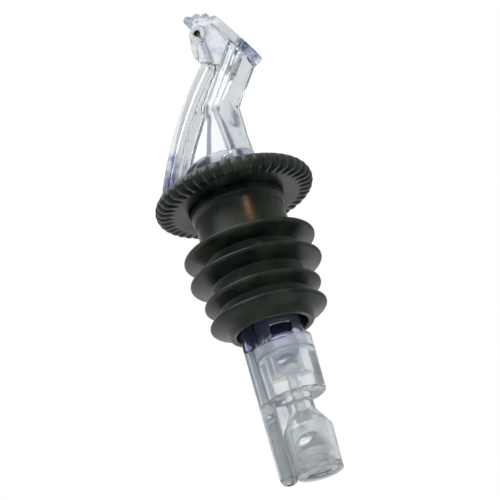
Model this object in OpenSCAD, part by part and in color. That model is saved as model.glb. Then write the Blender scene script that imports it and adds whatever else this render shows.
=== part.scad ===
// Three-ball measured pourer: a clear spout on a fluted collar, a finned cork that seals in the
// bottle's neck, and a metering housing with three loose steel balls that hangs inside the bottle.
// The origin is the middle of the collar's underside, where the bottle's lip touches it.
// +Z runs along the cork towards the spout, and +X is the way the liquid leaves.

/* [Collar] */
// Diameter of the collar over its rim
collar_d = 30; // [29:0.5:34]
// Thickness of the collar, which is also the diameter of its rounded rim
collar_t = 3; // [2.6:0.1:3.6]
// Number of flutes round the rim
flute_count = 46; // [30:1:50]
// Width of a flute
flute_w = 1.1; // [0.7:0.05:1.2]
// Depth of a flute
flute_depth = 0.4; // [0.2:0.05:0.5]
// Length of the flutes on the underside, inwards from the rim
flute_len = 3.2; // [2.6:0.1:3.6]
// Depth of the recess for the cork's bead
bead_recess = 0.4; // [0.2:0.1:0.6]

/* [Cork] */
// Diameter of the cork's neck
cork_neck_d = 16.8; // [16:0.2:17.4]
// Diameter of the bead that seats in the collar
cork_bead_d = 17.8; // [17.6:0.1:18.6]
// Height of the bead below the collar
cork_bead_h = 1.6; // [1:0.1:2.5]
// Diameter of the cork's lower end
cork_end_d = 15.6; // [15:0.1:16.4]
// Length of the cork below the collar
cork_len = 25.7; // [25:0.1:27]
// Diameter of the two upper fins
fin_wide_d = 24.6; // [22:0.2:26]
// Diameter of the two lower fins
fin_narrow_d = 21.7; // [19:0.1:22]
// Depth of the first fin below the collar
fin_first = 9.5; // [8.5:0.1:10]
// Spacing of the three upper fins
fin_pitch = 4.7; // [4.2:0.1:4.8]
// Spacing of the two lower fins
fin_pitch_low = 4; // [3.6:0.1:4.3]
// Thickness of a fin at its lip
fin_lip = 0.9; // [0.7:0.05:1.2]
// Thickness of a fin at its root
fin_root = 1.3; // [1:0.05:1.6]
// Straight land on a fin's lip
fin_land = 0.4; // [0.2:0.05:0.6]
// Height by which a fin's lip turns up
fin_cup = 0.9; // [0.4:0.1:1.2]

/* [Stem] */
// Diameter of the stem inside the cork
stem_d = 13.2; // [12.8:0.1:13.6]
// Depth of the full stem below the collar
stem_plug_h = 20; // [17:0.5:22]
// Offset of the liquid tube from the axis, the way the liquid leaves
stem_x = 1; // [0.8:0.05:1.2]
// Outside diameter of the liquid tube
liquid_tube_d = 8.8; // [8.4:0.1:9]
// Bore of the liquid tube, in which the timing ball runs
metering_bore = 5.3; // [5.2:0.05:5.6]
// Width of the liquid tube's windows
window_w = 3.8; // [3:0.1:4.2]
// Height of the liquid tube's windows
window_h = 2.4; // [1.8:0.1:2.6]
// Gap between a window and the cup's rim
window_gap = 0.2; // [0.1:0.05:0.5]
// Turn of the windows about the liquid tube
window_turn = 22; // [0:1:30]

/* [Shut-off seat] */
// Diameter of the seat ring and of the spout's spigot
seat_d = 6.8; // [6.4:0.1:7.2]
// Height of the seat ring
seat_h = 2.5; // [1.5:0.1:3.5]
// Hole that the timing ball closes
seat_hole = 3.4; // [3:0.1:4]
// Depth of the spout's spigot below the collar
spigot_h = 1.5; // [1:0.1:3]

/* [Metering cup] */
// Depth of the cup's rim below the collar
cup_top = 28.4; // [28.2:0.1:29.5]
// Height of the cup
cup_h = 10.7; // [10.2:0.1:12]
// Diameter of the cup at its rim
cup_d = 10.8; // [10.4:0.1:11.2]
// Diameter of the cup at its floor
cup_floor_d = 10.4; // [10:0.1:10.6]
// Dip of the rim at the front and the back
rim_dip = 1; // [0.4:0.1:1.4]
// Depth of the liquid tube inside the cup
cup_socket = 2.6; // [2:0.1:3.2]
// Depth of the ball's pocket below the liquid tube
pocket_h = 4.7; // [4:0.1:5]
// Metering hole between the cup and the cage
metering_hole = 1.6; // [1.2:0.1:1.8]

/* [Ball cage] */
// Diameter of the neck between the cup and the cage
neck_d = 4.8; // [4.4:0.1:5.4]
// Height of the neck
neck_h = 2.9; // [2:0.1:3.5]
// Height of the cage's cone
shoulder_h = 3.5; // [3:0.1:4]
// Diameter of the cage below its cone
cage_d = 9; // [8.6:0.1:9.4]
// Diameter of the cage at its lower end
cage_end_d = 8.5; // [8.3:0.1:8.6]
// Height of the cage below its cone, without the end ring
cage_h = 7.3; // [6.8:0.1:8.5]
// Bore of the cage
cage_bore = 6.9; // [6.8:0.05:7.1]
// Roof of the cage's bore, above the lower edge of the cone
cage_roof = 0.3; // [0:0.1:0.8]
// Thickness of the end ring's flange
ring_flange = 0.8; // [0.6:0.1:1.2]
// Height of the end ring inside the cage
ring_spigot = 1.2; // [0.8:0.1:1.6]
// Inlet hole of the end ring
inlet_d = 4; // [3:0.1:4.4]
// Width of the drain slots in the end ring
drain_w = 0.9; // [0.6:0.1:1.2]
// Number of drain slots in the end ring
drain_count = 3; // [2:1:4]

/* [Breather] */
// Offset of the breather channel from the axis, away from the pouring side
air_x = 4.75; // [4.6:0.05:4.8]
// Outside diameter of the breather channel
air_tube_d = 3.3; // [3.1:0.05:3.4]
// Bore of the air passages
air_bore = 1.6; // [1.2:0.1:1.7]
// Thickness of the web that carries the breather channel
air_web = 2.2; // [1.4:0.1:2.6]
// Bore of the breather ball's chamber
chamber_bore = 2.7; // [2.6:0.02:2.72]
// Depth of the chamber's roof below the cup's rim
chamber_top = 10.2; // [9:0.1:11]
// Height of the chamber above the plug
chamber_h = 4; // [3.4:0.1:5]
// Bore of the breather plug
plug_bore = 1.2; // [0.8:0.1:1.4]
// Height of the plug's rounded head
plug_head = 0.9; // [0.6:0.1:1.2]

/* [Balls] */
// Diameter of the timing ball
timing_ball_d = 4.76; // [4.5:0.02:4.8]
// Diameter of the reset ball
reset_ball_d = 6.35; // [6.2:0.01:6.4]
// Diameter of the breather ball
breather_ball_d = 2.38; // [2.2:0.02:2.4]

/* [Spout base] */
// Diameter of the flange on the collar
flange_d = 24.8; // [23:0.2:25.6]
// Thickness of the flange
flange_t = 0.7; // [0.5:0.1:1]
// Diameter of the hub at the foot of the tube
hub_d = 14; // [13:0.1:15]
// Offset of the hub towards the air leg
hub_x = 0.8; // [0.4:0.1:1]
// Height of the hub
hub_h = 5.4; // [4:0.1:6]
// Height of the rib from the hub to the leg
foot_rib_h = 1.8; // [1.4:0.1:2.4]
// Depth of the air groove under the rib
air_groove = 0.8; // [0.5:0.1:1]

/* [Air leg] */
// Distance of the leg's outer foot from the axis
leg_foot = 14.1; // [13.6:0.1:14.2]
// Lean of the leg at its foot
leg_lean = 19.3; // [18.5:0.1:20.5]
// Bend radius of the leg's outer face
leg_bend = 71.5; // [68:0.5:78]
// Thickness of the leg
leg_t = 3.5; // [3:0.1:4]
// Depth of the leg from front to back
leg_w = 5; // [4:0.1:6]
// Depth of the leg's air channel from front to back
leg_channel = 3; // [2:0.1:3.4]

/* [Pouring tube] */
// Offset of the tube from the axis
tube_x = 2.4; // [2.1:0.1:2.7]
// Outside diameter of the tube
tube_d = 6.4; // [6:0.1:6.8]
// Bore of the tube
tube_bore = 3.8; // [3.4:0.1:4]
// Offset of the bore from the tube's middle, the way the liquid leaves
bore_shift = 0.7; // [0.4:0.05:0.8]
// Height of the kink above the collar
kink_h = 16.5; // [15:0.1:17.5]
// Lean of the tube above the kink
tube_lean = 37; // [35:0.5:39]
// Ledge at the kink, by which the upright tube is wider all round
kink_ledge = 0.15; // [0.1:0.05:0.3]
// Diameter of the tube's tapered foot, at half the hub's height
tube_foot_d = 10.6; // [10:0.1:11]
// Offset of the foot's middle from the axis
tube_foot_x = 0.95; // [0.8:0.05:1.1]
// Depth of the foot's upper end inside the tube's wall
foot_sink = 0.25; // [0.15:0.05:0.4]
// Distance of the foot's upper end below the kink
foot_drop = 1; // [0.8:0.1:2]
// Length of the tube from the kink to the cap
tube_len = 7.3; // [6.8:0.1:8]

/* [Spout cap] */
// Depth of the cap from front to back
cap_w = 6.2; // [5.8:0.1:6.3]
// Distance of the cap's back from the axis
cap_back_x = 0.8; // [0.5:0.1:0.8]
// Height of the middle of the cap's back above the collar
cap_back_h = 28.75; // [28.4:0.05:29]
// Bend radius of the cap's back
cap_back_r = 8.8; // [8.6:0.1:10]
// Overlap of the cap's block with the tube, from the tube's near side
cap_hug = 1.2; // [0.8:0.1:1.6]
// Distance of the crown's centre from the axis
crown_x = 1.75; // [1.5:0.05:2]
// Height of the crown's centre above the collar
crown_h = 29.45; // [29.2:0.05:29.7]
// Radius of the crown
crown_r = 6; // [5.8:0.1:6.2]
// Thickness of the crown's band
crown_t = 1.4; // [1:0.1:1.8]
// Diameter of the crown's ribs
rib_d = 1.7; // [1.4:0.1:1.8]
// Number of ribs on the crown
rib_count = 4; // [2:1:4]
// Angle between the crown's ribs
rib_step = 17; // [16:0.5:18]
// Angle of the first rib from the pouring direction
rib_start = 92; // [90:1:95]
// Length of the ribs
rib_len = 5.4; // [4:0.1:6.4]
// Distance from the kink to the outlet along the tube
outlet_len = 13.6; // [13:0.1:14.5]
// Angle of the outlet from the pourer's axis
outlet_lean = 62; // [58:0.5:66]
// Thickness of the outlet lip
lip_t = 1.7; // [1.2:0.1:2]
// Width of the outlet lip
lip_w = 7.6; // [7.2:0.1:9]
// Reach of the lip below the tube's axis
lip_drop = 4.6; // [4.4:0.1:5.2]
// Reach of the lip above the tube's axis
lip_rise = 8.4; // [7.6:0.1:8.8]

/* [Vent] */
// Distance of the vent from the axis
vent_x = 2.9; // [2.8:0.05:3.1]
// Height of the vent above the collar
vent_h = 31.35; // [31:0.05:31.6]
// Hole of the vent bush
vent_hole = 0.8; // [0.6:0.05:0.9]
// Outside diameter of the vent bush
vent_bush_d = 1.1; // [1.05:0.05:1.3]
// Diameter of the bush's flange
vent_flange_d = 1.35; // [1.3:0.05:1.6]
// Thickness of the bush's flange
vent_flange = 0.15; // [0.1:0.05:0.3]
// Diameter of the boss round the vent
vent_boss_d = 3.5; // [3.2:0.1:3.8]
// Height of the boss
vent_boss = 0.5; // [0.3:0.1:0.8]
// Length of the bush inside the cap
vent_depth = 1.6; // [1.2:0.1:2]

/* [Fits] */
// Radial gap between pieces that are pressed or welded together
joint_gap = 0.04; // [0.02:0.01:0.06]
// Gap between a ball and the seat it rests on
rest_gap = 0.05; // [0.03:0.01:0.1]
// Gap between a ball and the stop at the end of its travel
stop_gap = 0.1; // [0.05:0.01:0.15]

/* [Hidden] */
$fn = 64;
// Length by which a cut runs past a face
over = 1;
// Length of a block that stands for everything on one side of a plane
far = 200;

// Heights of the mating faces, all from the collar's underside
hub_mid = collar_t + hub_h / 2;
seat_low = -spigot_h - seat_h;
cup_floor = -cup_top - cup_h;
liquid_tube_end = -cup_top - cup_socket;
pocket_floor = liquid_tube_end - pocket_h;
shoulder_top = cup_floor - neck_h;
shoulder_low = shoulder_top - shoulder_h;
cage_low = shoulder_low - cage_h;
ring_low = cage_low - ring_flange;
ring_top = cage_low + ring_spigot;
cage_roof_z = shoulder_low + cage_roof;
chamber_roof = -cup_top - chamber_top;
chamber_floor = chamber_roof - chamber_h;
kink_z = collar_t + kink_h;
vent_z = collar_t + vent_h;
crown_z = collar_t + crown_h;

// Rim and fins
rim_r = collar_t / 2;
rim_mid = collar_d / 2 - rim_r;
fin_depths = [fin_first, fin_first + fin_pitch, fin_first + 2 * fin_pitch,
              fin_first + 2 * fin_pitch + fin_pitch_low];
fin_diameters = [fin_wide_d, fin_wide_d, fin_narrow_d, fin_narrow_d];

// The breather plug's head stops short of the cage's end ring
plug_head_d = min(air_tube_d, 2 * (air_x + stem_x - cage_end_d / 2 - rest_gap));

// A ball rests on the edge of a round hole at this height over the hole's face
function perch(ball_d, hole_d) = sqrt(pow(ball_d / 2, 2) - pow(hole_d / 2, 2));

// Rest heights of the balls' centres
timing_rest = pocket_floor + perch(timing_ball_d, metering_hole) + rest_gap;
reset_rest = ring_top + perch(reset_ball_d, inlet_d) + rest_gap;
breather_rest = chamber_floor + perch(breather_ball_d, plug_bore) + rest_gap;

// Heights of the balls' centres at the end of their travel
timing_end = seat_low - perch(timing_ball_d, seat_hole) - stop_gap;
reset_end = cage_roof_z + cage_bore / 2 - (reset_ball_d / 2 + stop_gap) * sqrt(2);
breather_end = chamber_roof - perch(breather_ball_d, air_bore) - stop_gap;
echo(timing_travel = timing_end - timing_rest);
echo(reset_travel = reset_end - reset_rest);
echo(breather_travel = breather_end - breather_rest);

// Centre of the leg's bend, and the middle line of the leg
leg_centre_x = -leg_foot + leg_bend * cos(leg_lean);
leg_centre_z = collar_t - leg_bend * sin(leg_lean);
leg_mid = leg_bend - leg_t / 2;
// Angle of the leg's middle line from the bend's centre down to the air groove
leg_groove_angle = asin((collar_t + air_groove / 2 - leg_centre_z) / leg_mid);
leg_groove_x = leg_centre_x - leg_mid * cos(leg_groove_angle);

// The leg's middle line meets the joint between the spout and its cap here
joint_x = tube_x + tube_len * sin(tube_lean);
joint_z = kink_z + tube_len * cos(tube_lean);
joint_offset = (joint_x - leg_centre_x) * sin(tube_lean) + (joint_z - leg_centre_z) * cos(tube_lean);
leg_end_angle = 90 - tube_lean + acos(joint_offset / leg_mid);
leg_end_x = leg_centre_x + leg_mid * cos(leg_end_angle);
leg_end_z = leg_centre_z + leg_mid * sin(leg_end_angle);

// Line of the tube's tapered foot, from half the hub's height to its end inside the tube
foot_rise = kink_z - foot_drop - hub_mid;
foot_lean = atan2(tube_x - tube_foot_x, foot_rise);
foot_len = norm([tube_x - tube_foot_x, foot_rise]);

// Moves its children from the tube's own line above the kink to their place
module along_tube() {
    translate([tube_x, 0, kink_z]) rotate([0, tube_lean, 0]) children();
}

// Moves its children to the middle of the outlet, with Z out of it and X towards its lower end
module at_outlet() {
    along_tube() translate([0, 0, outlet_len]) rotate([0, outlet_lean - tube_lean, 0]) children();
}

// Moves its children to the kink, with Z square to the mitre between the two lines of the tube
module at_mitre() {
    translate([tube_x, 0, kink_z]) rotate([0, tube_lean / 2, 0]) children();
}

// Everything below, or everything above, a plane at a height
module below(z) {
    translate([-far / 2, -far / 2, z - far]) cube(far);
}

module above(z) {
    translate([-far / 2, -far / 2, z]) cube(far);
}

// The pouring tube's line, or one beside it, as a solid: upright from half the hub's height to the
// kink, then leaning
module kinked_rod(d, shift) {
    intersection() {
        translate([tube_x + shift, 0, hub_mid]) cylinder(r = d / 2 + kink_ledge, h = kink_z - hub_mid + d);
        at_mitre() below(0);
    }
    intersection() {
        along_tube() translate([shift, 0, -d]) cylinder(d = d, h = outlet_len + 2 * d);
        at_mitre() above(0);
    }
}

// A cylinder from front to back through the point x, z
module cross_bar(x, z, d, length) {
    translate([x, 0, z]) rotate([90, 0, 0]) cylinder(d = d, h = length, center = true);
}

// A bore that runs straight from one point of the middle plane to another
module straight_bore(x0, z0, x1, z1, d) {
    translate([x0, 0, z0])
        rotate([0, atan2(x1 - x0, z1 - z0), 0])
            cylinder(d = d, h = norm([x1 - x0, z1 - z0]));
}

// One flute: a straight groove on the underside that turns up round the rim
module flute() {
    groove_mid = rim_r + flute_w / 2 - flute_depth;
    translate([rim_mid, 0, rim_r]) {
        rotate([90, 0, 0]) rotate([0, 0, -90])
            rotate_extrude(angle = 180) translate([groove_mid, 0]) circle(d = flute_w);
        translate([0, 0, -groove_mid]) rotate([0, -90, 0])
            cylinder(d = flute_w, h = flute_len - rim_r);
    }
}

module collar() {
    color([0.08, 0.085, 0.08])
    difference() {
        union() {
            cylinder(r = rim_mid, h = collar_t);
            translate([0, 0, rim_r]) rotate_extrude() translate([rim_mid, 0]) circle(r = rim_r);
        }
        translate([0, 0, -over]) cylinder(r = stem_d / 2 + joint_gap, h = collar_t + 2 * over);
        translate([0, 0, -over])
            cylinder(r = cork_bead_d / 2 + joint_gap, h = over + bead_recess);
        for (i = [0 : flute_count - 1]) rotate([0, 0, 360 * (i + 0.5) / flute_count]) flute();
    }
}

// One fin as a ring with a lip that turns up
module fin(depth, d) {
    r = d / 2;
    chamfer = (fin_lip - fin_land) / 2;
    root_r = cork_end_d / 2 - fin_root / 2;
    rotate_extrude()
        polygon([
            [root_r, -depth - fin_cup - fin_root / 2],
            [r - chamfer, -depth - fin_lip / 2],
            [r, -depth - fin_land / 2],
            [r, -depth + fin_land / 2],
            [r - chamfer, -depth + fin_lip / 2],
            [root_r, -depth - fin_cup + fin_root / 2]]);
}

module cork() {
    taper_top = fin_depths[2];
    color([0.06, 0.065, 0.06])
    difference() {
        union() {
            rotate_extrude()
                polygon([
                    [0, bead_recess],
                    [cork_bead_d / 2, bead_recess],
                    [cork_bead_d / 2, -cork_bead_h],
                    [cork_neck_d / 2, -cork_bead_h - (cork_bead_d - cork_neck_d) / 2],
                    [cork_neck_d / 2, -taper_top],
                    [cork_end_d / 2, -cork_len],
                    [0, -cork_len]]);
            for (i = [0 : len(fin_depths) - 1]) fin(fin_depths[i], fin_diameters[i]);
        }
        translate([0, 0, -cork_len - over])
            cylinder(r = stem_d / 2 + joint_gap, h = cork_len + 3 * over);
    }
}

module stem_tube() {
    window_top = -cup_top + window_gap + window_h;
    color([0.62, 0.66, 0.74, 0.6])
    difference() {
        union() {
            translate([0, 0, -stem_plug_h]) cylinder(d = stem_d, h = stem_plug_h + collar_t);
            translate([stem_x, 0, liquid_tube_end])
                cylinder(d = liquid_tube_d, h = -liquid_tube_end - stem_plug_h + over);
            translate([-air_x, 0, -cup_top])
                cylinder(d = air_tube_d, h = cup_top - stem_plug_h + over);
        }
        translate([stem_x, 0, liquid_tube_end - over])
            cylinder(d = metering_bore, h = -liquid_tube_end + collar_t + 2 * over);
        translate([stem_x, 0, seat_low])
            cylinder(r = seat_d / 2 + joint_gap, h = -seat_low + collar_t + over);
        translate([-air_x, 0, -cup_top - over])
            cylinder(d = air_bore, h = cup_top + collar_t + 2 * over);
        translate([stem_x, 0, window_top - window_h]) rotate([0, 0, window_turn])
            translate([-window_w / 2, -liquid_tube_d, 0]) cube([window_w, 2 * liquid_tube_d, window_h]);
    }
}

module shutoff_seat() {
    color([0.9, 0.9, 0.86])
    translate([stem_x, 0, seat_low])
        difference() {
            cylinder(d = seat_d, h = seat_h);
            translate([0, 0, -over]) cylinder(d = seat_hole, h = seat_h + 2 * over);
        }
}

// The cup's outside, with a rim that dips at the front and the back
module cup_wall() {
    half = cup_d / 2;
    dip_r = (pow(half, 2) + pow(rim_dip, 2)) / (2 * rim_dip);
    translate([stem_x, 0, 0])
        difference() {
            translate([0, 0, cup_floor]) cylinder(d1 = cup_floor_d, d2 = cup_d, h = cup_h);
            cross_bar(0, -cup_top - rim_dip + dip_r, 2 * dip_r, cup_d + 2 * over);
        }
}

// The neck, the cone and the cage's outside
module cage_wall() {
    translate([stem_x, 0, 0]) {
        translate([0, 0, shoulder_top]) cylinder(d = neck_d, h = neck_h + over);
        translate([0, 0, shoulder_low]) cylinder(d1 = cage_d, d2 = neck_d, h = shoulder_h);
        translate([0, 0, cage_low]) cylinder(d1 = cage_end_d, d2 = cage_d, h = cage_h);
    }
}

module lower_housing() {
    cone_h = (cage_bore - metering_hole) / 2;
    color([0.78, 0.81, 0.84, 0.7])
    difference() {
        union() {
            cup_wall();
            cage_wall();
            translate([-air_x, 0, cage_low]) cylinder(d = air_tube_d, h = -cup_top - cage_low);
            translate([-air_x, -air_web / 2, cage_low])
                cube([air_x + stem_x, air_web, -cup_top - cage_low - cup_h / 2]);
        }
        translate([stem_x, 0, liquid_tube_end])
            cylinder(r = liquid_tube_d / 2 + joint_gap, h = cup_socket + over);
        translate([stem_x, 0, pocket_floor]) cylinder(d = metering_bore, h = pocket_h + over);
        translate([stem_x, 0, cage_roof_z]) cylinder(d = metering_hole, h = pocket_floor - cage_roof_z + over);
        translate([stem_x, 0, cage_low - over]) cylinder(d = cage_bore, h = cage_roof_z - cage_low + over);
        translate([stem_x, 0, cage_roof_z]) cylinder(d1 = cage_bore, d2 = metering_hole, h = cone_h);
        translate([-air_x, 0, chamber_roof - over]) cylinder(d = air_bore, h = -cup_top - chamber_roof + 2 * over);
        translate([-air_x, 0, cage_low - over]) cylinder(d = chamber_bore, h = chamber_roof - cage_low + over);
    }
}

module cage_ring() {
    color([0.8, 0.83, 0.86, 0.7])
    translate([stem_x, 0, 0])
        difference() {
            union() {
                translate([0, 0, ring_low]) cylinder(d = cage_end_d, h = ring_flange);
                translate([0, 0, cage_low])
                    cylinder(r = cage_bore / 2 - joint_gap, h = ring_spigot);
            }
            translate([0, 0, ring_low - over])
                cylinder(d = inlet_d, h = ring_top - ring_low + 2 * over);
            for (i = [0 : drain_count - 1])
                rotate([0, 0, 360 * (i + 0.5) / drain_count])
                    translate([0, -drain_w / 2, ring_low - over])
                        cube([cage_bore / 2 - drain_w, drain_w, ring_top - ring_low + 2 * over]);
        }
}

module breather_plug() {
    color([0.8, 0.83, 0.86, 0.7])
    translate([-air_x, 0, 0])
        difference() {
            union() {
                translate([0, 0, cage_low])
                    cylinder(r = chamber_bore / 2 - joint_gap, h = chamber_floor - cage_low);
                intersection() {
                    translate([0, 0, cage_low]) sphere(d = plug_head_d);
                    translate([0, 0, cage_low - plug_head]) cylinder(d = plug_head_d, h = plug_head);
                }
            }
            translate([0, 0, cage_low - air_tube_d])
                cylinder(d = plug_bore, h = chamber_floor - cage_low + air_tube_d + over);
        }
}

module timing_ball() {
    color([0.75, 0.76, 0.78]) translate([stem_x, 0, timing_rest]) sphere(d = timing_ball_d);
}

module reset_ball() {
    color([0.75, 0.76, 0.78]) translate([stem_x, 0, reset_rest]) sphere(d = reset_ball_d);
}

module breather_ball() {
    color([0.75, 0.76, 0.78]) translate([-air_x, 0, breather_rest]) sphere(d = breather_ball_d);
}

// The leg's outside, from the collar to the joint with the cap
module leg_wall() {
    intersection() {
        translate([leg_centre_x, 0, leg_centre_z])
            difference() {
                rotate([90, 0, 0]) cylinder(r = leg_bend, h = leg_w, center = true, $fn = 180);
                rotate([90, 0, 0])
                    cylinder(r = leg_bend - leg_t, h = leg_w + 2 * over, center = true, $fn = 180);
            }
        above(collar_t);
        along_tube() below(tube_len);
    }
}

// The leg's flat air channel, from the groove under the rib to the joint with the cap
module leg_passage() {
    translate([leg_centre_x, 0, leg_centre_z])
        rotate([90, 0, 0])
            rotate([0, 0, leg_end_angle - 1])
                rotate_extrude(angle = 180 - leg_groove_angle - leg_end_angle + 1, $fn = 180)
                    translate([leg_mid - air_bore / 2, -leg_channel / 2])
                        square([air_bore, leg_channel]);
}

// The tube's outside: a tapered foot on the hub, then a plain tube up to the lip
module tube_wall() {
    translate([tube_foot_x, 0, hub_mid]) rotate([0, foot_lean, 0])
        cylinder(d1 = tube_foot_d, d2 = tube_d - 2 * foot_sink, h = foot_len);
    intersection() {
        kinked_rod(tube_d, 0);
        at_outlet() below(-lip_t);
    }
}

module spout_body() {
    color([0.8, 0.84, 0.9, 0.5])
    difference() {
        union() {
            translate([0, 0, collar_t]) cylinder(d = flange_d, h = flange_t);
            translate([-hub_x, 0, collar_t]) cylinder(d = hub_d, h = hub_h);
            translate([leg_t / 2 - leg_foot, -leg_w / 2, collar_t])
                cube([leg_foot - leg_t / 2 - hub_x, leg_w, foot_rib_h]);
            translate([stem_x, 0, -spigot_h]) cylinder(d = seat_d, h = spigot_h + collar_t + over);
            tube_wall();
            leg_wall();
        }
        translate([stem_x, 0, -spigot_h - over])
            cylinder(d = seat_hole, h = spigot_h + over + hub_mid + seat_hole);
        kinked_rod(tube_bore, bore_shift);
        leg_passage();
        translate([leg_groove_x - air_bore / 2, -air_bore / 2, collar_t - over])
            cube([-air_x + air_bore - leg_groove_x, air_bore, air_groove + over]);
    }
}

// The cap's block between its bent back, the outlet and the joint with the leg
module cap_block() {
    intersection() {
        cross_bar(cap_back_x + cap_back_r, collar_t + cap_back_h, 2 * cap_back_r, cap_w);
        along_tube() translate([cap_hug - tube_d / 2 - far, -far / 2, tube_len]) cube(far);
        at_outlet() below(0);
        union() {
            cross_bar(crown_x, crown_z, 2 * crown_r - crown_t, far);
            translate([crown_x, 0, crown_z]) rotate([0, outlet_lean, 0])
                translate([0, -far / 2, -far / 2]) cube(far);
        }
    }
}

// The lip is a plate with round ends across the outlet
module outlet_lip() {
    at_outlet() translate([0, 0, -lip_t])
        for (x = [lip_w / 2 - lip_rise, lip_drop - lip_w / 2]) {
            translate([x, 0, 0]) cylinder(d = lip_w, h = lip_t);
        }
    at_outlet()
        translate([lip_w / 2 - lip_rise, -lip_w / 2, -lip_t])
            cube([lip_rise + lip_drop - lip_w, lip_w, lip_t]);
}

// A bent band on the crown with ribs across it, from over the cap's back to the outlet
module crown() {
    intersection() {
        difference() {
            cross_bar(crown_x, crown_z, 2 * crown_r, rib_len);
            cross_bar(crown_x, crown_z, 2 * (crown_r - crown_t), rib_len + 2 * over);
        }
        translate([crown_x, -far / 2, crown_z]) rotate([0, 90 - rib_start, 0]) cube(far);
        at_outlet() below(0);
    }
    for (i = [0 : rib_count - 1]) {
        angle = rib_start - i * rib_step;
        cross_bar(crown_x + crown_r * cos(angle), crown_z + crown_r * sin(angle), rib_d, rib_len);
    }
}

module spout_cap() {
    color([0.82, 0.85, 0.9, 0.5])
    difference() {
        union() {
            cap_block();
            outlet_lip();
            crown();
            translate([vent_x, 0, vent_z]) rotate([90, 0, 0]) cylinder(d = vent_boss_d, h = cap_w / 2 + vent_boss);
        }
        along_tube() translate([bore_shift, 0, 0]) cylinder(d = tube_bore, h = outlet_len + tube_d);
        intersection() {
            along_tube() cylinder(r = tube_d / 2 + joint_gap, h = outlet_len + tube_d);
            at_outlet() below(-lip_t);
        }
        straight_bore(leg_end_x, leg_end_z - over, vent_x, vent_z, air_bore);
        translate([vent_x, 0, vent_z]) rotate([90, 0, 0]) cylinder(d = vent_hole, h = cap_w);
        translate([vent_x, vent_depth - cap_w / 2 - vent_boss, vent_z]) rotate([90, 0, 0])
            cylinder(r = vent_bush_d / 2 + joint_gap, h = cap_w);
    }
}

module vent_bush() {
    face = -cap_w / 2 - vent_boss;
    color([0.45, 0.36, 0.22])
    difference() {
        union() {
            translate([vent_x, face + vent_depth, vent_z]) rotate([90, 0, 0])
                cylinder(d = vent_bush_d, h = vent_depth);
            translate([vent_x, face, vent_z]) rotate([90, 0, 0])
                cylinder(d = vent_flange_d, h = vent_flange);
        }
        translate([vent_x, 0, vent_z]) rotate([90, 0, 0]) cylinder(d = vent_hole, h = cap_w);
    }
}

spout_body();
spout_cap();
vent_bush();
collar();
cork();
stem_tube();
shutoff_seat();
lower_housing();
cage_ring();
breather_plug();
timing_ball();
reset_ball();
breather_ball();
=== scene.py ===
# %% [markdown]
# # A measured bottle pourer in clear plastic, black rubber and steel
# The real pourer is a clear moulded spout on a fluted rubber collar, a finned rubber cork, and a
# milky housing with three loose bearing balls. The construction model gives every size, so each
# piece below is made straight in that frame. The work is to give the plain solids the soft edges,
# finishes and light of the real thing.

import math

import bmesh
import bpy
from mathutils import Matrix, Vector


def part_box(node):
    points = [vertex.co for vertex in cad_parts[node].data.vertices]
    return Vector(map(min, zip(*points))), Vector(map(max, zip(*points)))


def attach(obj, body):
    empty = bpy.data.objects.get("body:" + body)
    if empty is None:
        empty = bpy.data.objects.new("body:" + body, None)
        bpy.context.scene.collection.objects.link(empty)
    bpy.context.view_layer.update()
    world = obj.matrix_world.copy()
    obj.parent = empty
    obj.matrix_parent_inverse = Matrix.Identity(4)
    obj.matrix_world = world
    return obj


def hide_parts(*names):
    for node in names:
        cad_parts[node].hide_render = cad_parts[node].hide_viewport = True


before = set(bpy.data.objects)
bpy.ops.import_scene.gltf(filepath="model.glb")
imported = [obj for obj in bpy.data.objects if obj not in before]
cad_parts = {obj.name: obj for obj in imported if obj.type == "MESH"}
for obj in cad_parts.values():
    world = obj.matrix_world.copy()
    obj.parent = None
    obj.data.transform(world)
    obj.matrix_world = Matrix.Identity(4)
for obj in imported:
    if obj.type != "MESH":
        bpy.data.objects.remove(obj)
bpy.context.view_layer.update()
MM = 0.001
print("nodes:", ", ".join(sorted(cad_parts)))

# %% [markdown]
# ## Camera
# The photograph was taken from below, with a long lens, and with the pourer leaning to the left.
# One could turn the pourer instead, but the frame stays put, so the camera takes the lean as a roll.
# Its place was fitted to the ellipses of the collar and the fins: 350 mm away, 24 degrees below,
# and 15 degrees round towards the pouring side. It aims at the middle of the picture, so that it
# needs no shift.

# %% Place the camera
VIEW_DISTANCE = 350 * MM
VIEW_BELOW = math.radians(24.08)
VIEW_ROUND = math.radians(15)
VIEW_ROLL = math.radians(16.27)
FOCAL_PIXELS = 1893.5
PICTURE_PIXELS = 500
COLLAR_MIDDLE = Vector((0, 0, 1.5 * MM))
# Where the collar's middle stands in the picture, in pixels from its centre
COLLAR_RIGHT = -15.7
COLLAR_UP = 52.9

sight = Vector((
    -math.sin(VIEW_ROUND) * math.cos(VIEW_BELOW),
    math.cos(VIEW_ROUND) * math.cos(VIEW_BELOW),
    math.sin(VIEW_BELOW)))
level = Vector((math.cos(VIEW_ROUND), math.sin(VIEW_ROUND), 0))
upright = level.cross(sight)
right = math.cos(VIEW_ROLL) * level - math.sin(VIEW_ROLL) * upright
up = math.sin(VIEW_ROLL) * level + math.cos(VIEW_ROLL) * upright
eye = COLLAR_MIDDLE - VIEW_DISTANCE * sight
aim = (FOCAL_PIXELS * sight - COLLAR_RIGHT * right - COLLAR_UP * up).normalized()
right = (right - right.dot(aim) * aim).normalized()
up = right.cross(aim)

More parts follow.
